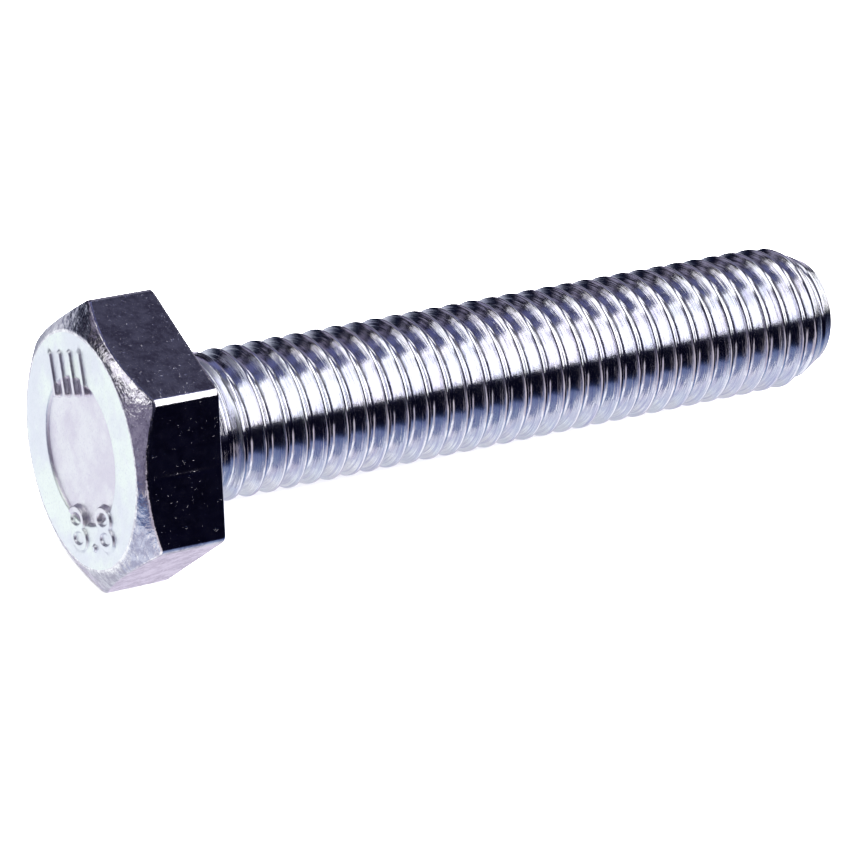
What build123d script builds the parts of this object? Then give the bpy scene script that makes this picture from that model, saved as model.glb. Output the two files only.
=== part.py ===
from build123d import *
import math
import os

# Hexagon head screw, M10 x 1.5 x 50, threaded to the head: one steel forging. Millimetres.
# The screw lies along +X, from the head to the point, with the origin at the centre of the
# bearing face under the head and one hexagon flat facing straight down.
# Each shape is made standing, with the screw's axis along +Z, and is laid down at the end.

# Thread, ISO metric coarse, right-hand
PITCH = 1.5
MAJOR_D = 9.8
CREST_WIDTH = PITCH / 8
ROOT_RADIUS = PITCH * math.sqrt(3) / 12
FLANK_HALF_ANGLE = 30.0
FIRST_GROOVE_Z = 3.36         # middle of the first full groove, in line with a hexagon corner
RUN_OUT_TURNS = 1.0           # the groove fades out over this, towards the head
RUN_OUT_RISE = 0.62

# Shank
LENGTH = 50.0
NECK_D = 9.0                  # the blank's diameter before the thread is rolled
NECK_LENGTH = 1.1
NECK_RISE = 2.0               # length of the blank's cone from the neck to the full crests
NECK_FILLET = 0.5
POINT_LENGTH = 2.6
POINT_END_D = 7.2
SHANK_SECTORS = 10            # equal parts of the blank, where the crest strip is divided

# Head
ACROSS_FLATS = 16.8
HEX_HEIGHT = 5.7
WASHER_FACE_D = 15.6
WASHER_FACE_HEIGHT = 0.3
HEAD_HEIGHT = HEX_HEIGHT + WASHER_FACE_HEIGHT
CORNER_FILLET = 0.6
TOP_CIRCLE_D = 15.45
TOP_CHAMFER_ANGLE = 32.0
RECESS_D = 9.7
RECESS_DEPTH = 0.2
RECESS_DRAFT = 0.2

# Raised marks on the head: the property class 8.8 below, a plain row of bars above
MARK_HEIGHT = 0.15            # above the rim of the head
MARK_UP_ANGLE = 46.9          # the way up for a reader, from the hexagon corner
MARK_CENTRE_RADIUS = 4.95
DIGIT_HEIGHT = 3.0
DIGIT_WIDTH = 2.3
DIGIT_OFFSET = 1.95           # from the decimal point to the middle of a digit
STROKE = 0.5
BAR_COUNT = 4
BAR_SPACING = 1.45

UPRIGHT = (Align.CENTER, Align.CENTER, Align.MIN)


def hexagon():
    """The hexagon with its small corner radii, chamfered round the top of the head."""
    outline = RegularPolygon(ACROSS_FLATS / 2, 6, major_radius=False)
    prism = extrude(fillet(outline.vertices(), CORNER_FILLET), HEX_HEIGHT)
    spread = HEX_HEIGHT / math.tan(math.radians(TOP_CHAMFER_ANGLE))
    cone = Cone(TOP_CIRCLE_D / 2, TOP_CIRCLE_D / 2 + spread, HEX_HEIGHT, align=UPRIGHT)
    return Pos(0, 0, -HEAD_HEIGHT) * (prism & cone)


def washer_face():
    disc = Cylinder(WASHER_FACE_D / 2, WASHER_FACE_HEIGHT, align=UPRIGHT)
    return Pos(0, 0, -WASHER_FACE_HEIGHT) * disc


def recess():
    """The shallow round hollow that the forging punch leaves in the head."""
    cutter = Cone(RECESS_D / 2, RECESS_D / 2 - RECESS_DRAFT, RECESS_DEPTH, align=UPRIGHT)
    return Pos(0, 0, -HEAD_HEIGHT) * cutter


def digit_eight():
    """A block 8 around its own middle: two rings, one on the other."""
    ring_height = (DIGIT_HEIGHT + STROKE) / 2
    ring = Ellipse(DIGIT_WIDTH / 2, ring_height / 2)
    ring -= Ellipse(DIGIT_WIDTH / 2 - STROKE, ring_height / 2 - STROKE)
    shift = (DIGIT_HEIGHT - ring_height) / 2
    return Pos(0, shift) * ring + Pos(0, -shift) * ring


def marks():
    """The class number and the bars: they stand in the recess and rise above the rim."""
    number = Pos(-DIGIT_OFFSET, 0) * digit_eight() + Pos(DIGIT_OFFSET, 0) * digit_eight()
    number += Pos(0, (STROKE - DIGIT_HEIGHT) / 2) * Circle(STROKE / 2)
    bar = SlotOverall(DIGIT_HEIGHT, STROKE, rotation=90)
    first = -(BAR_COUNT - 1) / 2 * BAR_SPACING
    bars = [Pos(first + i * BAR_SPACING, 0) * bar for i in range(BAR_COUNT)]
    flat = Pos(0, -MARK_CENTRE_RADIUS) * number + Pos(0, MARK_CENTRE_RADIUS) * (Sketch() + bars)
    up = math.radians(MARK_UP_ANGLE)
    reading_plane = Plane(
        origin=(0, 0, RECESS_DEPTH - HEAD_HEIGHT),
        x_dir=(-math.sin(up), math.cos(up), 0),
        z_dir=(0, 0, -1),
    )
    return reading_plane * extrude(flat, RECESS_DEPTH + MARK_HEIGHT)


def shank_sectors():
    """The shank's turned blank, as equal sectors of one turn."""
    neck = NECK_D / 2
    crest = MAJOR_D / 2
    outline = Polyline(
        (0, LENGTH),
        (0, -WASHER_FACE_HEIGHT),
        (neck + NECK_FILLET, -WASHER_FACE_HEIGHT),
        (neck + NECK_FILLET, 0),
    )
    outline += RadiusArc((neck + NECK_FILLET, 0), (neck, NECK_FILLET), NECK_FILLET)
    outline += Polyline(
        (neck, NECK_FILLET),
        (neck, NECK_LENGTH),
        (crest, NECK_LENGTH + NECK_RISE),
        (crest, LENGTH - POINT_LENGTH),
        (POINT_END_D / 2, LENGTH),
        (0, LENGTH),
    )
    step = 360 / SHANK_SECTORS
    sector = revolve(Plane.XZ * make_face(outline), Axis.Z, revolution_arc=step)
    return [Rot(0, 0, i * step) * sector for i in range(SHANK_SECTORS)]


def groove_section():
    """The V of the groove with its rounded root, standing across the +X side."""
    crest = MAJOR_D / 2
    half_angle = math.radians(FLANK_HALF_ANGLE)
    half_width = (PITCH - CREST_WIDTH) / 2
    apex = crest - half_width / math.tan(half_angle)
    outer = crest + RUN_OUT_RISE
    outer_half = (outer - apex) * math.tan(half_angle)
    root_centre = apex + ROOT_RADIUS / math.sin(half_angle)
    tangent_r = root_centre - ROOT_RADIUS * math.sin(half_angle)
    tangent_z = ROOT_RADIUS * math.cos(half_angle)
    low, high = (tangent_r, -tangent_z), (tangent_r, tangent_z)
    outline = Polyline(high, (outer, outer_half), (outer, -outer_half), low)
    outline += ThreePointArc(low, (root_centre - ROOT_RADIUS, 0), high)
    return Plane.XZ * make_face(outline)


def thread_groove():
    """The groove along the right-hand helix, on past the end of the point."""
    turns = math.ceil((LENGTH - FIRST_GROOVE_Z) / PITCH) + 1
    helix = Helix(PITCH, turns * PITCH, MAJOR_D / 2)
    return Pos(0, 0, FIRST_GROOVE_Z) * sweep(groove_section(), path=helix, is_frenet=True)


def groove_run_out():
    """The same groove on towards the head, on a widening helix that lifts it out of the neck."""
    fall = RUN_OUT_TURNS * PITCH
    cone_angle = math.degrees(math.atan(RUN_OUT_RISE / fall))
    slant_pitch = PITCH / math.cos(math.radians(cone_angle))
    helix = Helix(slant_pitch, fall, MAJOR_D / 2, direction=(0, 0, -1), cone_angle=cone_angle)
    path = Rot(0, 0, 180) * helix
    return Pos(0, 0, FIRST_GROOVE_Z) * sweep(groove_section(), path=path, is_frenet=True)


def hex_screw():
    head = hexagon() + washer_face() - recess() + marks()
    sectors = shank_sectors()
    threaded = Solid.fuse(sectors[0], *sectors[1:]) - thread_groove() - groove_run_out()
    return Plane.YZ * head.fuse(threaded)


os.makedirs("parts", exist_ok=True)
export_step(hex_screw(), "parts/hex_screw.step")
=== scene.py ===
import math

import bpy
import numpy as np
from mathutils import Matrix, Vector


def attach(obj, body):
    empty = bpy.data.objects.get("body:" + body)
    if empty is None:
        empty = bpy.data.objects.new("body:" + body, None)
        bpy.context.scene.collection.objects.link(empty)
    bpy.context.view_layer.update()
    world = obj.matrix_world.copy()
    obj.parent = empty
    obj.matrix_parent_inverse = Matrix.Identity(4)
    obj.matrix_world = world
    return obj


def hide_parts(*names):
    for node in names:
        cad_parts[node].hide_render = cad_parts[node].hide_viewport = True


# A zinc-plated hexagon head screw, M10 x 1.5 x 50, threaded to the head. The screw lies along +X,
# with the origin at the centre of the bearing face. Shapes are worked out in millimetres, and
# angles round the axis go from +Y towards +Z, with a hexagon corner at 0. Rings that lie close to an
# edge keep the faces beside it flat.

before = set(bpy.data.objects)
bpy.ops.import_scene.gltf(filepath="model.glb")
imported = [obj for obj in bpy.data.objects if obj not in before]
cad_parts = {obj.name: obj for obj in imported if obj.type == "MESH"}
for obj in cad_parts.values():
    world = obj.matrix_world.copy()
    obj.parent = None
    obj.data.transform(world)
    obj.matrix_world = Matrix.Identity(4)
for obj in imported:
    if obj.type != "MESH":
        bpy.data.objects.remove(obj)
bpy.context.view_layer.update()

MM = 0.001

# Finishes, in the order of the screw's material slots
RECESS, RIM, CHAMFER, FLATS, THREAD, BEARING, POINT = range(7)

# Thread
PITCH = 1.5
CREST_R = 4.9
CREST_WIDTH = PITCH / 8
FLANK_HALF_ANGLE = math.radians(30)
ROOT_RADIUS = PITCH * math.sqrt(3) / 12
ROOT_REACH = ROOT_RADIUS * math.cos(FLANK_HALF_ANGLE)    # half the width of the rounded root
FIRST_GROOVE_X = 3.36
RUN_OUT_RISE = 0.62           # lift of the groove in its last turn before the head
CREST_ROUNDING = 0.09
THREAD_START_X = 0.9          # where the wound faces begin, on the plain neck
THREAD_COLUMNS = 240
STREAK_CIRCLE_R = CREST_R / 14    # small, so that the streaks are long round the screw

# Shank
LENGTH = 50.0
NECK_R = 4.5
NECK_LENGTH = 1.1
NECK_RISE = 2.0
NECK_FILLET = 0.5
NECK_MIDDLE_X = 0.6
FILLET_SURROUND = 0.6         # width of the bearing face's innermost ring
POINT_LENGTH = 2.6
POINT_END_R = 3.6
POINT_CORNER_ROUNDING = 0.04  # where the point meets the crests
POINT_ROUNDING = 0.15         # at the point's own edge
POINT_EDGE_DROP = 0.16
POINT_DISH = 0.16             # depth of the slight hollow in the end face

# Head
FLAT_R = 8.4                  # from the axis to a flat
FLAT_HOLLOW = 0.02
HEAD_HEIGHT = 6.0
WASHER_FACE_R = 7.8
WASHER_FACE_HEIGHT = 0.3
WASHER_EDGE = 0.06
WASHER_ROOT = 0.08            # soft corner between the washer face and the hexagon
CORNER_FILLET = 0.6
CORNER_CENTRE_R = (FLAT_R - CORNER_FILLET) / math.cos(math.pi / 6)
FLAT_END_ANGLE = math.atan2(CORNER_CENTRE_R * math.sin(math.pi / 6), FLAT_R)
TOP_CIRCLE_R = 7.725
TOP_CHAMFER = math.radians(32)
RIM_ROUNDING = 0.4
EDGE_ROUNDING = 0.22
EDGE_BACK = EDGE_ROUNDING * math.tan((math.pi / 2 - TOP_CHAMFER) / 2)    # sharp edge to rounding
CHAMFER_CROWN = 0.025
PARTING_RIDGE = 0.045         # faint forging line down the middle of two flats
PARTING_WIDTH = math.radians(0.75)    # as seen from the axis
RECESS_R = 4.85
RECESS_DEPTH = 0.2
RECESS_SLOPE_IN = 0.26        # how far the recess's sloping wall reaches inside its radius
RECESS_SLOPE_OUT = 0.05       # and outside it
RIM_START_R = RECESS_R - 0.1  # where the rim's finish takes over from the recess's
HEAD_COLUMNS = 720
COLUMNS_PER_CORNER = 12

# Raised marks
MARK_HEIGHT = 0.15
MARK_UP = math.radians(46.9)
MARK_CENTRE_R = 4.95
MARK_INNER_R = 3.3            # the marks lie between these two radii
MARK_OUTER_R = 6.7
MARK_RING_STEP = 0.05
DIGIT_HEIGHT = 3.0
DIGIT_WIDTH = 2.3
DIGIT_OFFSET = 1.95
STROKE = 0.5
BAR_COUNT = 4
BAR_SPACING = 1.45
MARK_DRAFT = 0.14             # width of the slope at the edge of a stroke
MARK_DRAFT_INSIDE = 0.6       # share of it inside the stroke

# Camera and resting place
VIEW_AZIMUTH = math.radians(40.43)
VIEW_ELEVATION = math.radians(40.91)
VIEW_ROLL = math.radians(-17.81)
VIEW_TARGET = Vector((18.756, -1.985, -1.743)) * MM
VIEW_DISTANCE = 261.34 * MM
LENS = 168.055
SENSOR_WIDTH = 36.0
FLOOR_GAP = 0.02
FLOOR_HALF_WIDTH = 3.0        # in metres, like the lamp's place and size
LAMP_PLACE = (0.1, -0.2, 1.2)
LAMP_SIZE = 2.4
LAMP_POWER = 220


# ---------------------------------------------------------------- shapes

def smooth(value, low, high):
    """0 below low, 1 above high, and an even S between them."""
    share = np.clip((value - low) / (high - low), 0, 1)
    return share * share * (3 - 2 * share)


def soft_min(a, b, rounding):
    """The smaller of two, with the crease between them rounded off."""
    near = np.maximum(rounding - np.abs(a - b), 0) / rounding
    return np.minimum(a, b) - near * near * rounding / 4


def head_angles():
    """Column angles round the head, closer together on the rounded corners."""
    flat_columns = HEAD_COLUMNS // 6 - COLUMNS_PER_CORNER
    flat = np.linspace(-FLAT_END_ANGLE, FLAT_END_ANGLE, flat_columns + 1)[:-1]
    corner = np.linspace(FLAT_END_ANGLE, math.pi / 3 - FLAT_END_ANGLE, COLUMNS_PER_CORNER + 1)[:-1]
    side = np.concatenate([flat, corner])
    return np.concatenate([side + (k + 0.5) * math.pi / 3 for k in range(6)])


def hexagon_radius(angle):
    """From the axis to the hexagon's outline, with its corner radii."""
    off_flat = np.abs(np.mod(angle, math.pi / 3) - math.pi / 6)
    off_corner = math.pi / 6 - off_flat
    inside = np.maximum(CORNER_FILLET ** 2 - (CORNER_CENTRE_R * np.sin(off_corner)) ** 2, 0)
    corner = CORNER_CENTRE_R * np.cos(off_corner) + np.sqrt(inside)
    return np.where(off_flat < FLAT_END_ANGLE, FLAT_R / np.cos(off_flat), corner)


def ellipse_distance(x, y, half_width, half_height):
    """About how far a point is outside an ellipse; less than 0 inside it."""
    once = np.hypot(x / half_width, y / half_height)
    twice = np.hypot(x / half_width ** 2, y / half_height ** 2)
    return once * (once - 1) / np.maximum(twice, 1e-6)


def eight_distance(x, y):
    """How far a point is outside the strokes of an 8: two rings, one on the other."""
    ring_height = (DIGIT_HEIGHT + STROKE) / 2
    shift = (DIGIT_HEIGHT - ring_height) / 2
    rings = []
    for middle in (shift, -shift):
        outer = ellipse_distance(x, y - middle, DIGIT_WIDTH / 2, ring_height / 2)
        inner = ellipse_distance(x, y - middle, DIGIT_WIDTH / 2 - STROKE, ring_height / 2 - STROKE)
        rings.append(np.maximum(outer, -inner))
    return np.minimum(*rings)


def mark_distance(radius, angle):
    """How far a point on the head is outside the nearest raised stroke."""
    across = radius * np.sin(angle - MARK_UP)
    up = radius * np.cos(angle - MARK_UP)
    low = up + MARK_CENTRE_R
    left_eight = eight_distance(across - DIGIT_OFFSET, low)
    right_eight = eight_distance(across + DIGIT_OFFSET, low)
    dot = np.hypot(across, low - (STROKE - DIGIT_HEIGHT) / 2) - STROKE / 2
    nearest = np.minimum(np.minimum(left_eight, right_eight), dot)
    reach = (DIGIT_HEIGHT - STROKE) / 2
    high = up - MARK_CENTRE_R
    beyond = high - np.clip(high, -reach, reach)
    for i in range(BAR_COUNT):
        middle = (i - (BAR_COUNT - 1) / 2) * BAR_SPACING
        nearest = np.minimum(nearest, np.hypot(across - middle, beyond) - STROKE / 2)
    return nearest


def head_face_rings(angles):
    """Rings from near the middle of the recess out to the rim, with the marks raised on them.

    They are close together only where the marks and the recess's wall are.
    """
    radii = np.concatenate([
        [0.5, 1.2, 2.0, 2.8],
        np.arange(MARK_INNER_R, MARK_OUTER_R, MARK_RING_STEP),
        [6.8, 7.0, 7.25, 7.5, TOP_CIRCLE_R - 0.13],
    ])
    rings = []
    for radius in radii:
        rim = smooth(radius, RECESS_R - RECESS_SLOPE_IN, RECESS_R + RECESS_SLOPE_OUT)
        base = -HEAD_HEIGHT + RECESS_DEPTH * (1 - rim)
        slope_start = -MARK_DRAFT * MARK_DRAFT_INSIDE
        raised = 1 - smooth(mark_distance(radius, angles), slope_start, slope_start + MARK_DRAFT)
        x = base + (-HEAD_HEIGHT - MARK_HEIGHT - base) * raised
        rings.append((x, np.full_like(angles, radius)))
    recess_rings = int(np.sum(radii < RIM_START_R))
    return rings, recess_rings


def arc_between(start_turn, end_turn, steps):
    """Turn angles from one tangent to the next, ends included."""
    return np.linspace(start_turn, end_turn, steps + 1)


def chamfer_rings(angles):
    """Rings over the rounded edge of the rim and down the chamfer to the hexagon's outline."""
    rings = []
    run = RIM_ROUNDING * math.tan(TOP_CHAMFER / 2)
    for turn in arc_between(0, TOP_CHAMFER, 4):
        radius = TOP_CIRCLE_R - run + RIM_ROUNDING * math.sin(turn)
        x = -HEAD_HEIGHT + RIM_ROUNDING * (1 - math.cos(turn))
        rings.append((np.full_like(angles, x), np.full_like(angles, radius)))
    first = TOP_CIRCLE_R + run * math.cos(TOP_CHAMFER)
    outline = hexagon_radius(angles)
    last = outline - EDGE_BACK * math.cos(TOP_CHAMFER)
    for share in (0.03, 0.15, 0.3, 0.45, 0.6, 0.75, 0.88, 0.96, 1.0):
        radius = first + (last - first) * share
        crown = CHAMFER_CROWN * math.sin(math.pi * share)
        rings.append((chamfer_x(radius) - crown, radius))
    centre_r = outline - EDGE_ROUNDING
    centre_x = chamfer_x(outline) + EDGE_BACK
    for turn in arc_between(TOP_CHAMFER, math.pi / 2, 4)[1:]:
        radius = centre_r + EDGE_ROUNDING * math.sin(turn)
        rings.append((centre_x - EDGE_ROUNDING * math.cos(turn), radius))
    return rings


def chamfer_x(radius):
    """Where the cone of the chamfer is at a radius."""
    return -HEAD_HEIGHT + (radius - TOP_CIRCLE_R) * math.tan(TOP_CHAMFER)


def flat_rings(angles):
    """Rings down the flats, from the chamfer to the rounded edge at the back."""
    outline = hexagon_radius(angles)
    top = chamfer_x(outline) + EDGE_BACK
    bottom = np.full_like(angles, -WASHER_FACE_HEIGHT - EDGE_ROUNDING)
    off_flat = np.mod(angles, math.pi / 3) - math.pi / 6
    parted = np.mod(angles - math.pi / 3 * 2, math.pi) < math.pi / 3
    line = np.exp(-(off_flat / PARTING_WIDTH) ** 2) * parted
    rings = []
    for share in (0.006, 0.03, 0.1, 0.2, 0.3, 0.4, 0.5, 0.6, 0.7, 0.8, 0.9, 0.97, 0.994, 1.0):
        hollow = FLAT_HOLLOW * math.sin(math.pi * share) ** 2
        waver = 0.6 + 0.4 * math.sin(23 * share)
        ridge = PARTING_RIDGE * math.sin(math.pi * share) * waver
        radius = outline - hollow * np.cos(3 * off_flat) ** 2 + ridge * line
        rings.append((top + (bottom - top) * share, radius))
    for turn in arc_between(0, math.pi / 2, 4)[1:]:
        radius = outline - EDGE_ROUNDING * (1 - math.cos(turn))
        x = bottom + EDGE_ROUNDING * math.sin(turn)
        rings.append((x, radius))
    return rings


def bearing_rings(angles):
    """Rings over the back of the hexagon and the washer face."""
    outline = hexagon_radius(angles)
    rings = [(np.full_like(angles, -WASHER_FACE_HEIGHT), outline - EDGE_ROUNDING - 0.03)]
    for radius, x in (
        (WASHER_FACE_R + 0.1, -WASHER_FACE_HEIGHT),
        (WASHER_FACE_R + WASHER_ROOT / 4, -WASHER_FACE_HEIGHT + WASHER_ROOT / 4),
        (WASHER_FACE_R, -WASHER_FACE_HEIGHT + WASHER_ROOT),
        (WASHER_FACE_R, -WASHER_EDGE),
        (WASHER_FACE_R - WASHER_EDGE * 0.3, -WASHER_EDGE * 0.3),
        (WASHER_FACE_R - WASHER_EDGE, 0.0),
        (WASHER_FACE_R - WASHER_EDGE - 0.05, 0.0),
    ):
        rings.append((np.full_like(angles, x), np.full_like(angles, radius)))
    return rings


def neck_rings(angles):
    """Rings from the bearing face round the fillet to the start of the thread."""
    fillet_r = NECK_R + NECK_FILLET
    rings = [(0.0, fillet_r + FILLET_SURROUND), (0.0, fillet_r + 0.05)]
    for turn in arc_between(0, math.pi / 2, 6):
        x = NECK_FILLET * (1 - math.cos(turn))
        rings.append((x, fillet_r - NECK_FILLET * math.sin(turn)))
    rings.append((NECK_MIDDLE_X, NECK_R))
    return [(np.full_like(angles, x), np.full_like(angles, r)) for x, r in rings]


def thread_radius(x, angle):
    """The threaded shank's surface: the rolled groove cut into the blank's outline."""
    taper = NECK_R + (x - NECK_LENGTH) * (CREST_R - NECK_R) / NECK_RISE
    blank = np.where(x < NECK_LENGTH + NECK_RISE, taper, CREST_R)
    blank = np.maximum(blank, NECK_R)
    cone = POINT_END_R + (LENGTH - x) * (CREST_R - POINT_END_R) / POINT_LENGTH
    blank = soft_min(blank, cone, POINT_CORNER_ROUNDING)
    turns = (x - FIRST_GROOVE_X) / PITCH - angle / (2 * math.pi)
    off_groove = np.abs(turns - np.round(turns)) * PITCH
    half_width = (PITCH - CREST_WIDTH) / 2
    flank = CREST_R - (half_width - off_groove) / math.tan(FLANK_HALF_ANGLE)
    apex = CREST_R - half_width / math.tan(FLANK_HALF_ANGLE)
    root_centre = apex + ROOT_RADIUS / math.sin(FLANK_HALF_ANGLE)
    root = root_centre - np.sqrt(np.maximum(ROOT_RADIUS ** 2 - off_groove ** 2, 0))
    groove = np.where(off_groove < ROOT_REACH, root, flank)
    lift = RUN_OUT_RISE * np.maximum(FIRST_GROOVE_X - x, 0) / PITCH
    return soft_min(blank, groove + lift, CREST_ROUNDING)


def thread_rows():
    """Where the rows lie over one pitch, as shares of it, from the middle of one groove to the next."""
    root = [0.0, 0.07, 0.13, ROOT_REACH]
    flank = [ROOT_REACH + 0.03, 0.31, 0.41, 0.51, 0.6]
    crest = [0.63, 0.65, 0.67, 0.69, 0.715]
    half = root + flank + crest
    other = [PITCH - row for row in reversed(half[1:])]
    return np.array(half + [PITCH / 2] + other) / PITCH


def thread_angles():
    """Column angles round the shank, evenly spaced."""
    return np.arange(THREAD_COLUMNS) * 2 * math.pi / THREAD_COLUMNS


def end_rings(angles):
    """Rings round the edge of the point and over its slightly dished end face."""
    rings = []
    start_r = POINT_END_R + POINT_ROUNDING * (CREST_R - POINT_END_R) / POINT_LENGTH
    for turn in arc_between(0, math.pi / 2, 4)[1:]:
        x = LENGTH - POINT_ROUNDING + POINT_ROUNDING * math.sin(turn)
        rings.append((x, start_r - POINT_EDGE_DROP * (1 - math.cos(turn))))
    for depth, radius in ((0.0, 3.45), (0.01, 3.2), (0.06, 2.6), (0.12, 1.8), (0.15, 0.9)):
        rings.append((LENGTH - depth, radius))
    return [(np.full_like(angles, x), np.full_like(angles, r)) for x, r in rings]


class Skin:
    """Points and faces of one closed skin, gathered ring by ring."""

    def __init__(self):
        self.points = []
        self.count = 0
        self.quads = []
        self.others = []

    def ring(self, x, radius, angles):
        """One ring of points. Returns the number of its first."""
        points = np.stack([x, radius * np.cos(angles), radius * np.sin(angles)], axis=1)
        self.points.append(points)
        first = self.count
        self.count += len(points)
        return first

    def point(self, x):
        """One point on the axis."""
        self.points.append(np.array([[x, 0.0, 0.0]]))
        self.count += 1
        return self.count - 1

    def band(self, low, high, columns, finish):
        """Faces all round between two rings."""
        here = np.arange(columns)
        after = (here + 1) % columns
        self.quads.append((np.stack([low + here, low + after, high + after, high + here], axis=1), finish))

    def rings(self, rings, angles, finish, before):
        """Rings joined to each other and to the ring before them. Returns the last one."""
        for x, radius in rings:
            ring = self.ring(x, radius, angles)
            self.band(before, ring, len(angles), finish)
            before = ring
        return before


def threaded_shank(skin, finish):
    """The thread's strip of faces, wound along the helix so that its rows follow the crests."""
    share = thread_rows()
    rows_per_turn = len(share)
    start = THREAD_START_X
    end = LENGTH - POINT_ROUNDING
    turns = math.ceil((end - start) / PITCH) + 2
    rows = turns * rows_per_turn
    steps = np.arange(rows + rows_per_turn + 1)
    along = (steps // rows_per_turn + share[steps % rows_per_turn]) * PITCH
    first_x = FIRST_GROOVE_X - math.ceil((FIRST_GROOVE_X - start) / PITCH + 1) * PITCH
    angles = thread_angles()
    x = np.clip(first_x + along[:, None] + angles[None, :] * PITCH / (2 * math.pi), start, end)
    radius = thread_radius(x, angles[None, :])
    first = skin.count
    for row in range(len(steps)):
        skin.ring(x[row], radius[row], angles)
    row, column = np.meshgrid(np.arange(rows), np.arange(THREAD_COLUMNS), indexing="ij")
    row, column = row.ravel(), column.ravel()
    wraps = column == THREAD_COLUMNS - 1
    next_row = row + np.where(wraps, rows_per_turn, 0)
    next_column = np.where(wraps, 0, column + 1)
    near = first + row * THREAD_COLUMNS + column
    far = first + next_row * THREAD_COLUMNS + next_column
    quads = np.stack([near, far, far + THREAD_COLUMNS, near + THREAD_COLUMNS], axis=1)
    skin.quads.append((quads, finish))
    return [skin.ring(np.full_like(angles, x), thread_radius(x, angles), angles) for x in (start, end)]


def weld(points):
    """Points that share a place become one. Returns the points, and which one each became."""
    keys = np.round(points * 1e5).astype(np.int64)
    _, kept, becomes = np.unique(keys, axis=0, return_index=True, return_inverse=True)
    return points[kept], becomes.reshape(-1)


def screw_skin():
    """The whole screw as one skin, from the middle of the recess to the middle of the end face."""
    skin = Skin()
    angles = head_angles()
    face, recess_rings = head_face_rings(angles)
    middle = skin.point(face[0][0][0])
    ring = skin.ring(*face[0], angles)
    for i in range(HEAD_COLUMNS):
        skin.others.append(([middle, ring + (i + 1) % HEAD_COLUMNS, ring + i], RECESS))
    ring = skin.rings(face[1:recess_rings], angles, RECESS, ring)
    ring = skin.rings(face[recess_rings:], angles, RIM, ring)
    ring = skin.rings(chamfer_rings(angles), angles, CHAMFER, ring)
    ring = skin.rings(flat_rings(angles), angles, FLATS, ring)
    head_edge = skin.rings(bearing_rings(angles), angles, BEARING, ring)

    angles_on_shank = thread_angles()
    neck = neck_rings(angles_on_shank)
    neck_edge = skin.ring(*neck[0], angles_on_shank)
    ring = skin.rings(neck[1:], angles_on_shank, THREAD, neck_edge)
    stitch_bearing(skin, head_edge, angles, neck_edge)

    thread_start, thread_end = threaded_shank(skin, THREAD)
    skin.band(ring, thread_start, THREAD_COLUMNS, THREAD)
    ring = skin.rings(end_rings(angles_on_shank), angles_on_shank, POINT, thread_end)
    middle = skin.point(LENGTH - POINT_DISH)
    for i in range(THREAD_COLUMNS):
        skin.others.append(([ring + i, ring + (i + 1) % THREAD_COLUMNS, middle], POINT))
    return skin


def stitch_bearing(skin, outer, outer_angles, inner):
    """The flat ring under the head, from the head's columns to the thread's coarser ones."""
    step = HEAD_COLUMNS // THREAD_COLUMNS
    offset = int(np.argmin(np.abs(np.mod(outer_angles + math.pi, 2 * math.pi) - math.pi)))
    for k in range(THREAD_COLUMNS):
        wide = [outer + (offset + k * step + i) % HEAD_COLUMNS for i in range(step + 1)]
        skin.others.append((wide + [inner + (k + 1) % THREAD_COLUMNS, inner + k], BEARING))


def screw_body():
    """The screw as one closed mesh, without the faces that the welding flattens to nothing."""
    skin = screw_skin()
    points, becomes = weld(np.concatenate(skin.points))
    faces, finishes = [], []
    for quads, finish in skin.quads:
        corners = becomes[quads]
        same = corners == np.roll(corners, -1, axis=1)
        whole = ~same.any(axis=1)
        faces += corners[whole].tolist()
        finishes += [finish] * int(whole.sum())
        for face, drop in zip(corners[~whole], same[~whole]):
            kept = [int(c) for c, d in zip(face, drop) if not d]
            if len(set(kept)) >= 3:
                faces.append(kept)
                finishes.append(finish)
    for face, finish in skin.others:
        faces.append([int(becomes[c]) for c in face])
        finishes.append(finish)
    mesh = bpy.data.meshes.new("screw_body")
    mesh.from_pydata((points * MM).tolist(), [], faces)
    mesh.polygons.foreach_set("material_index", finishes)
    mesh.polygons.foreach_set("use_smooth", [True] * len(mesh.polygons))
    mesh.update()
    body = bpy.data.objects.new("screw_body", mesh)
    bpy.context.scene.collection.objects.link(body)
    return body


# ---------------------------------------------------------------- materials

class Value:
    """A number that varies from place to place. An expression on it adds Math nodes."""

    def __init__(self, nodes, socket):
        self.nodes = nodes
        self.socket = socket

    def math(self, operation, a, b):
        return self.nodes.add("ShaderNodeMath", {"operation": operation}, {0: a, 1: b})

    def __add__(self, other):
        return self.math("ADD", self, other)

    __radd__ = __add__

    def __sub__(self, other):
        return self.math("SUBTRACT", self, other)

    def __rsub__(self, other):
        return self.math("SUBTRACT", other, self)

    def __mul__(self, other):
        return self.math("MULTIPLY", self, other)

    __rmul__ = __mul__

    def __truediv__(self, other):
        return self.math("DIVIDE", self, other)

    def __rtruediv__(self, other):
        return self.math("DIVIDE", other, self)

    def rise(self, low, high):
        """0 at low and beyond, 1 at high and beyond, and an even S between them."""
        if low > high:
            return 1 - self.rise(high, low)
        inputs = {"Value": self, "From Min": low, "From Max": high}
        return self.nodes.add("ShaderNodeMapRange", {"interpolation_type": "SMOOTHSTEP"}, inputs)

    def between(self, low, high, edge):
        """1 from low to high, with soft edges outside them."""
        return self.rise(low - edge, low) * self.rise(high + edge, high)


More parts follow.
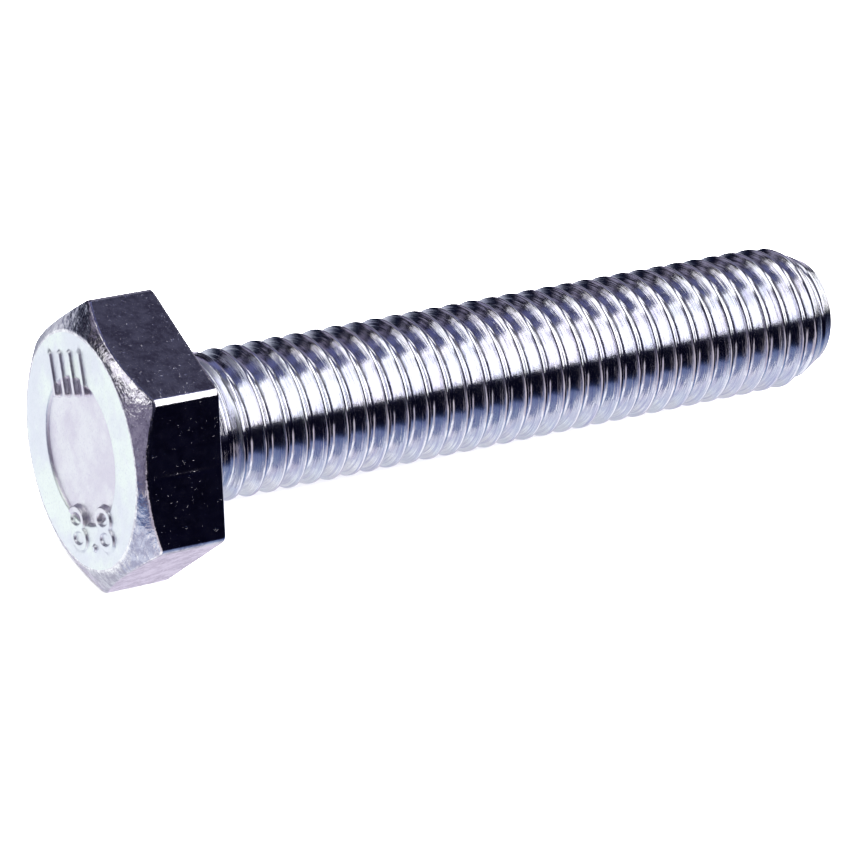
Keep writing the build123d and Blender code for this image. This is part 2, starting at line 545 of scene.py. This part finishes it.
class Nodes:
    """One node tree, and the one way that nodes are added to it."""

    def __init__(self, tree):
        self.tree = tree
        tree.nodes.clear()

    def add(self, kind, settings=None, inputs=None, output=0):
        """A node of that kind, its settings made first. Returns its output as a Value, if it has one."""
        node = self.tree.nodes.new(kind)
        for name, setting in (settings or {}).items():
            if name == "stops":
                self.set_stops(node.color_ramp.elements, setting)
            else:
                setattr(node, name, setting)
        for name, value in (inputs or {}).items():
            if isinstance(value, Value):
                self.tree.links.new(value.socket, node.inputs[name])
            else:
                node.inputs[name].default_value = value
        if len(node.outputs):
            return Value(self, node.outputs[output])

    def set_stops(self, elements, stops):
        """A ramp's stops, each a position and a colour."""
        while len(elements) < len(stops):
            elements.new(1.0)
        for element, (position, colour) in zip(elements, stops):
            element.position = position
            element.color = (*colour, 1)

    def mix(self, share, a, b):
        """Two colours mixed: a where share is 0, b where it is 1. The numbers are its colour sockets."""
        a, b = [v if isinstance(v, Value) else (*v, 1) for v in (a, b)]
        return self.add("ShaderNodeMix", {"data_type": "RGBA"}, {0: share, 6: a, 7: b}, output=2)

    def place(self):
        """The place on the screw in millimetres, as a vector."""
        spot = self.add("ShaderNodeTexCoord", output="Object")
        return self.add("ShaderNodeVectorMath", {"operation": "SCALE"}, {0: spot, "Scale": 1 / MM})

    def split(self, vector):
        node = self.add("ShaderNodeSeparateXYZ", None, {0: vector}).socket.node
        return [Value(self, socket) for socket in node.outputs]

    def join(self, x, y, z):
        return self.add("ShaderNodeCombineXYZ", None, {0: x, 1: y, 2: z})

    def noise(self, vector, scale, detail=3.0, roughness=0.55):
        inputs = {"Vector": vector, "Scale": scale, "Detail": detail, "Roughness": roughness}
        return self.add("ShaderNodeTexNoise", None, inputs)

    def radius(self, y, z):
        """Distance from the screw's axis."""
        return self.add("ShaderNodeMath", {"operation": "SQRT"}, {0: y * y + z * z})

    def angle(self, y, z):
        """Angle round the screw's axis."""
        return self.add("ShaderNodeMath", {"operation": "ARCTAN2"}, {0: z, 1: y})

    def circle(self, angle, size):
        """The y and z of an angle on a circle, so that a pattern has no seam where the angle jumps."""
        y = self.add("ShaderNodeMath", {"operation": "COSINE"}, {0: angle}) * size
        z = self.add("ShaderNodeMath", {"operation": "SINE"}, {0: angle}) * size
        return y, z


def metal(name, colour, roughness, height, strength, depth):
    """A plated metal, from functions of its nodes for its colour, roughness and height.

    The bump has that strength, and a height of 1 stands for depth millimetres.
    """
    material = bpy.data.materials.new(name)
    material.use_nodes = True
    nodes = Nodes(material.node_tree)
    bump_inputs = {"Strength": strength, "Distance": depth * MM, "Height": height(nodes)}
    bump = nodes.add("ShaderNodeBump", None, bump_inputs)
    inputs = {"Base Color": colour(nodes), "Roughness": roughness(nodes), "Metallic": 1.0, "Normal": bump}
    shader = nodes.add("ShaderNodeBsdfPrincipled", None, inputs)
    nodes.add("ShaderNodeOutputMaterial", None, {"Surface": shader})
    return material


def recess_finish():
    def colour(nodes):
        cloud = nodes.noise(nodes.place(), 0.45, 4.0)
        grain = nodes.noise(nodes.place(), 7.0, 3.0)
        tone = nodes.mix(cloud.rise(0.35, 0.65), (0.82, 0.78, 0.88), (0.92, 0.91, 0.96))
        return nodes.mix(grain.rise(0.5, 0.75) * 0.5, tone, (0.72, 0.69, 0.82))

    def roughness(nodes):
        return 0.34 + 0.12 * nodes.noise(nodes.place(), 2.2)

    def height(nodes):
        return nodes.noise(nodes.place(), 3.0, 5.0, 0.6)

    return metal("zinc_recess", colour, roughness, height, strength=0.55, depth=0.08)


def rim_finish():
    def colour(nodes):
        cloud = nodes.noise(nodes.place(), 0.3, 3.0)
        grain = nodes.noise(nodes.place(), 6.0, 3.0)
        tone = nodes.mix(cloud.rise(0.38, 0.62), (0.84, 0.86, 0.93), (0.92, 0.98, 0.95))
        return nodes.mix(grain.rise(0.5, 0.7) * 0.5, tone, (0.74, 0.78, 0.84))

    def roughness(nodes):
        return 0.30 + 0.12 * nodes.noise(nodes.place(), 1.6)

    def height(nodes):
        return nodes.noise(nodes.place(), 2.6, 4.0, 0.55)

    return metal("zinc_rim", colour, roughness, height, strength=0.5, depth=0.08)


def chamfer_finish():
    def tool_marks(nodes):
        """Turned lines round the head."""
        x, y, z = nodes.split(nodes.place())
        turn_y, turn_z = nodes.circle(nodes.angle(y, z), 3.0)
        return nodes.noise(nodes.join(nodes.radius(y, z) * 4.0, turn_y, turn_z), 1.2, 5.0, 0.65)

    def colour(nodes):
        mottle = nodes.noise(nodes.place(), 1.6, 4.0, 0.65)
        tone = nodes.mix(mottle.rise(0.4, 0.62), (0.60, 0.58, 0.66), (0.90, 0.89, 0.92))
        return nodes.mix(tool_marks(nodes).rise(0.5, 0.68) * 0.35, tone, (0.40, 0.37, 0.48))

    def roughness(nodes):
        return 0.06 + 0.14 * nodes.noise(nodes.place(), 2.4)

    def height(nodes):
        return 0.3 * tool_marks(nodes) + 1.2 * nodes.noise(nodes.place(), 1.4, 3.0, 0.55)

    return metal("zinc_chamfer", colour, roughness, height, strength=0.7, depth=0.09)


def flat_finish():
    def pits(nodes):
        return nodes.noise(nodes.place(), 3.4, 3.0, 0.6).rise(0.65, 0.71)

    def brushing(nodes):
        x, y, z = nodes.split(nodes.place())
        return nodes.noise(nodes.join(x * 0.35, y * 3.0, z * 3.0), 2.2, 4.0, 0.6)

    def colour(nodes):
        mottle = nodes.noise(nodes.place(), 0.9, 5.0, 0.65)
        grain = nodes.noise(nodes.place(), 4.5, 3.0, 0.6)
        tone = nodes.mix(mottle.rise(0.36, 0.64), (0.52, 0.49, 0.56), (0.92, 0.90, 0.94))
        tone = nodes.mix(grain.rise(0.50, 0.62) * 0.5, tone, (1.00, 0.98, 1.00))
        return nodes.mix(pits(nodes) * 0.4, tone, (0.95, 0.94, 0.98))

    def roughness(nodes):
        return 0.06 + 0.10 * nodes.noise(nodes.place(), 1.8)

    def height(nodes):
        rough = nodes.noise(nodes.place(), 2.4, 4.0, 0.6)
        return 0.22 * rough + 0.07 * brushing(nodes) - 0.11 * pits(nodes)

    return metal("zinc_flats", colour, roughness, height, strength=0.5, depth=0.08)


def thread_finish():
    def streaks(nodes, scale):
        """Rolling streaks, which follow the thread round the screw."""
        x, y, z = nodes.split(nodes.place())
        angle = nodes.angle(y, z)
        off_helix = x - angle * (PITCH / (2 * math.pi))
        turn_y, turn_z = nodes.circle(angle, STREAK_CIRCLE_R)
        outward = nodes.radius(y, z) * 2.0
        return nodes.noise(nodes.join(off_helix * 3.0, turn_y, turn_z + outward), scale, 4.0, 0.6)

    def colour(nodes):
        fine = streaks(nodes, 2.6)
        broad = nodes.noise(nodes.place(), 0.35, 3.0)
        tone = nodes.mix(broad.rise(0.4, 0.6), (0.80, 0.82, 0.88), (0.85, 0.84, 0.89))
        return nodes.mix(fine.rise(0.46, 0.66) * 0.7, tone, (0.58, 0.57, 0.74))

    def roughness(nodes):
        return 0.04 + 0.09 * streaks(nodes, 1.7)

    def height(nodes):
        return streaks(nodes, 2.4) + 0.12 * nodes.noise(nodes.place(), 5.0, 3.0)

    return metal("zinc_thread", colour, roughness, height, strength=0.5, depth=0.05)


def bearing_finish():
    def colour(nodes):
        cloud = nodes.noise(nodes.place(), 1.2, 4.0)
        return nodes.mix(cloud.rise(0.4, 0.65), (0.78, 0.79, 0.83), (0.70, 0.70, 0.76))

    def roughness(nodes):
        return 0.26 + 0.12 * nodes.noise(nodes.place(), 2.0)

    def height(nodes):
        x, y, z = nodes.split(nodes.place())
        turned_lines = nodes.noise(nodes.join(nodes.radius(y, z) * 6.0, x, y * 0.3), 1.5)
        return turned_lines + 0.5 * nodes.noise(nodes.place(), 3.0)

    return metal("zinc_bearing_face", colour, roughness, height, strength=0.4, depth=0.03)


def point_finish():
    def colour(nodes):
        cloud = nodes.noise(nodes.place(), 1.5, 4.0)
        return nodes.mix(cloud.rise(0.4, 0.65), (0.82, 0.81, 0.86), (0.68, 0.67, 0.76))

    def roughness(nodes):
        return 0.26 + 0.14 * nodes.noise(nodes.place(), 2.5)

    def height(nodes):
        return nodes.noise(nodes.place(), 2.2, 5.0, 0.6)

    return metal("zinc_point", colour, roughness, height, strength=0.6, depth=0.06)


# ---------------------------------------------------------------- studio

def studio_room():
    """Soft boxes and dark cards all round the screw, painted on the world by direction.

    A card has its left and right sides, its low and high ends and the softness of each pair, all in
    degrees, and its colour. Later cards lie over earlier ones.
    """
    world = bpy.data.worlds.new("studio_room")
    bpy.context.scene.world = world
    world.use_nodes = True
    nodes = Nodes(world.node_tree)
    x, y, z = nodes.split(nodes.add("ShaderNodeTexCoord", output="Generated"))
    azimuth = nodes.add("ShaderNodeMath", {"operation": "ARCTAN2"}, {0: x, 1: y}) * math.degrees(1)
    height = nodes.add("ShaderNodeMath", {"operation": "ARCSINE"}, {0: z}) * math.degrees(1)
    stops = [
        (-90, (0.66, 0.65, 0.76)),
        (-55, (0.64, 0.65, 0.75)),
        (-42, (0.42, 0.49, 0.66)),
        (-35, (0.27, 0.34, 0.54)),
        (-28, (0.15, 0.21, 0.40)),
        (-20, (0.07, 0.10, 0.22)),
        (-12, (0.008, 0.012, 0.035)),
        (-5, (0.002, 0.002, 0.010)),
        (20, (0.002, 0.002, 0.008)),
        (34, (0.04, 0.04, 0.075)),
        (45, (0.07, 0.07, 0.11)),
        (60, (0.06, 0.06, 0.10)),
        (75, (0.30, 0.30, 0.32)),
        (90, (0.90, 0.90, 0.92)),
    ]
    ramp = [((angle + 90) / 180, colour) for angle, colour in stops]
    room = nodes.add("ShaderNodeValToRGB", {"stops": ramp}, {0: (height + 90) / 180})
    for (left, right, side_edge), (low, high, end_edge), colour in (
        ((152, 186, 7), (-55, -24, 9), (0.22, 0.27, 0.44)),       # shaded floor at the side
        ((-122, -80, 12), (-90, -38, 8), (0.60, 0.64, 0.80)),     # floor at the head's far side
        ((-180, -113, 6), (-80, -32, 6), (1.12, 1.12, 1.16)),     # floor near the viewer
        ((-72, 80, 14), (-90, -24, 14), (0.64, 0.66, 0.74)),      # floor beyond the head
        ((-75, -22, 12), (-60, -28, 8), (1.07, 1.11, 1.13)),      # brighter floor that the head faces
        ((20, 68, 9), (-62, -19, 7), (0.72, 0.67, 0.82)),         # lavender floor past the point
        ((4, 24, 6), (-48, -34, 5), (0.40, 0.42, 0.50)),          # grey floor between them
        ((-170, -116, 5), (-34, 2, 5), (0.66, 0.61, 0.68)),       # grey cards round the viewer
        ((-104, -72, 6), (-18, 14, 6), (0.24, 0.22, 0.31)),
        ((24, 48, 7), (-8, 27, 5), (0.20, 0.20, 0.26)),           # grey card behind the screw
        ((2, 24, 6), (30, 46, 5), (0.16, 0.17, 0.34)),            # blue cards behind and above
        ((20, 60, 7), (52, 61, 4), (0.17, 0.19, 0.38)),
        ((-12, -6, 2), (2, 30, 4), (0.26, 0.24, 0.38)),           # narrow lit strip past the head
        ((-36, -18, 5), (4, 36, 8), (0.30, 0.28, 0.38)),          # soft boxes behind the head
        ((-78, -54, 4), (10, 32, 3), (1.60, 1.60, 1.62)),
        ((-62, -48, 3), (0, 9, 3), (0.95, 0.93, 0.98)),
        ((-52, -27, 3), (34, 53, 4), (1.50, 1.50, 1.50)),
        ((60, 98, 4), (2, 28, 3), (1.60, 1.60, 1.60)),            # soft boxes beyond and over the point
        ((56, 160, 5), (31, 70, 3), (2.10, 2.10, 2.10)),
    ):
        card = height.between(low, high, end_edge) * azimuth.between(left, right, side_edge)
        room = nodes.mix(card, room, colour)
    seen = nodes.add("ShaderNodeLightPath", output="Is Camera Ray")
    room = nodes.mix(seen, room, (1.0, 1.0, 1.0))
    background = nodes.add("ShaderNodeBackground", None, {"Color": room, "Strength": 1.0})
    nodes.add("ShaderNodeOutputWorld", None, {"Surface": background})


def floor():
    """A wide pale floor, on which the screw rests on its head's edge and the end of its thread."""
    low_x, low_z = -WASHER_FACE_HEIGHT - EDGE_ROUNDING, -FLAT_R
    tip_x, tip_z = LENGTH - POINT_LENGTH, -CREST_R
    tilt = math.atan2(tip_z - low_z, tip_x - low_x)
    half = FLOOR_HALF_WIDTH
    corners = [(-half, -half, 0), (half, -half, 0), (half, half, 0), (-half, half, 0)]
    mesh = bpy.data.meshes.new("floor")
    mesh.from_pydata(corners, [], [(0, 1, 2, 3)])
    surface = bpy.data.objects.new("floor", mesh)
    bpy.context.scene.collection.objects.link(surface)
    under_edge = Vector((low_x, 0, low_z - FLOOR_GAP)) * MM
    surface.matrix_world = Matrix.Translation(under_edge) @ Matrix.Rotation(-tilt, 4, "Y")
    material = bpy.data.materials.new("pale_floor")
    material.use_nodes = True
    nodes = Nodes(material.node_tree)
    shader = nodes.add("ShaderNodeBsdfDiffuse", None, {"Color": (0.92, 0.92, 0.93, 1)})
    nodes.add("ShaderNodeOutputMaterial", None, {"Surface": shader})
    mesh.materials.append(material)
    surface.visible_glossy = False


def floor_light(name, place, size, power):
    """A soft lamp for the floor alone: the metal doesn't mirror it."""
    lamp = bpy.data.lights.new(name, "AREA")
    lamp.shape = "DISK"
    lamp.size = size
    lamp.energy = power
    lamp_object = bpy.data.objects.new(name, lamp)
    bpy.context.scene.collection.objects.link(lamp_object)
    lamp_object.location = place
    lamp_object.rotation_euler = (-Vector(place)).to_track_quat("-Z", "Y").to_euler()
    lamp_object.visible_glossy = False
    lamp_object.visible_camera = False


def camera():
    data = bpy.data.cameras.new("camera")
    data.lens = LENS
    data.sensor_width = SENSOR_WIDTH
    data.clip_start = 0.01
    data.clip_end = 20.0
    view = bpy.data.objects.new("camera", data)
    bpy.context.scene.collection.objects.link(view)
    forward = Vector((
        math.sin(VIEW_AZIMUTH) * math.cos(VIEW_ELEVATION),
        math.cos(VIEW_AZIMUTH) * math.cos(VIEW_ELEVATION),
        -math.sin(VIEW_ELEVATION),
    ))
    level = Vector((math.cos(VIEW_AZIMUTH), -math.sin(VIEW_AZIMUTH), 0))
    upright = level.cross(forward)
    up = upright * math.cos(VIEW_ROLL) + level * math.sin(VIEW_ROLL)
    right = forward.cross(up)
    turn = Matrix((right, up, -forward)).transposed().to_4x4()
    view.matrix_world = Matrix.Translation(VIEW_TARGET - forward * VIEW_DISTANCE) @ turn
    bpy.context.scene.camera = view


screw = screw_body()
for finish in (
    recess_finish,
    rim_finish,
    chamfer_finish,
    flat_finish,
    thread_finish,
    bearing_finish,
    point_finish,
):
    screw.data.materials.append(finish())
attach(screw, "root")
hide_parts("hex_screw")

studio_room()
floor()
floor_light("overhead_lamp", LAMP_PLACE, LAMP_SIZE, LAMP_POWER)
camera()
bpy.context.scene.view_settings.view_transform = "Standard"
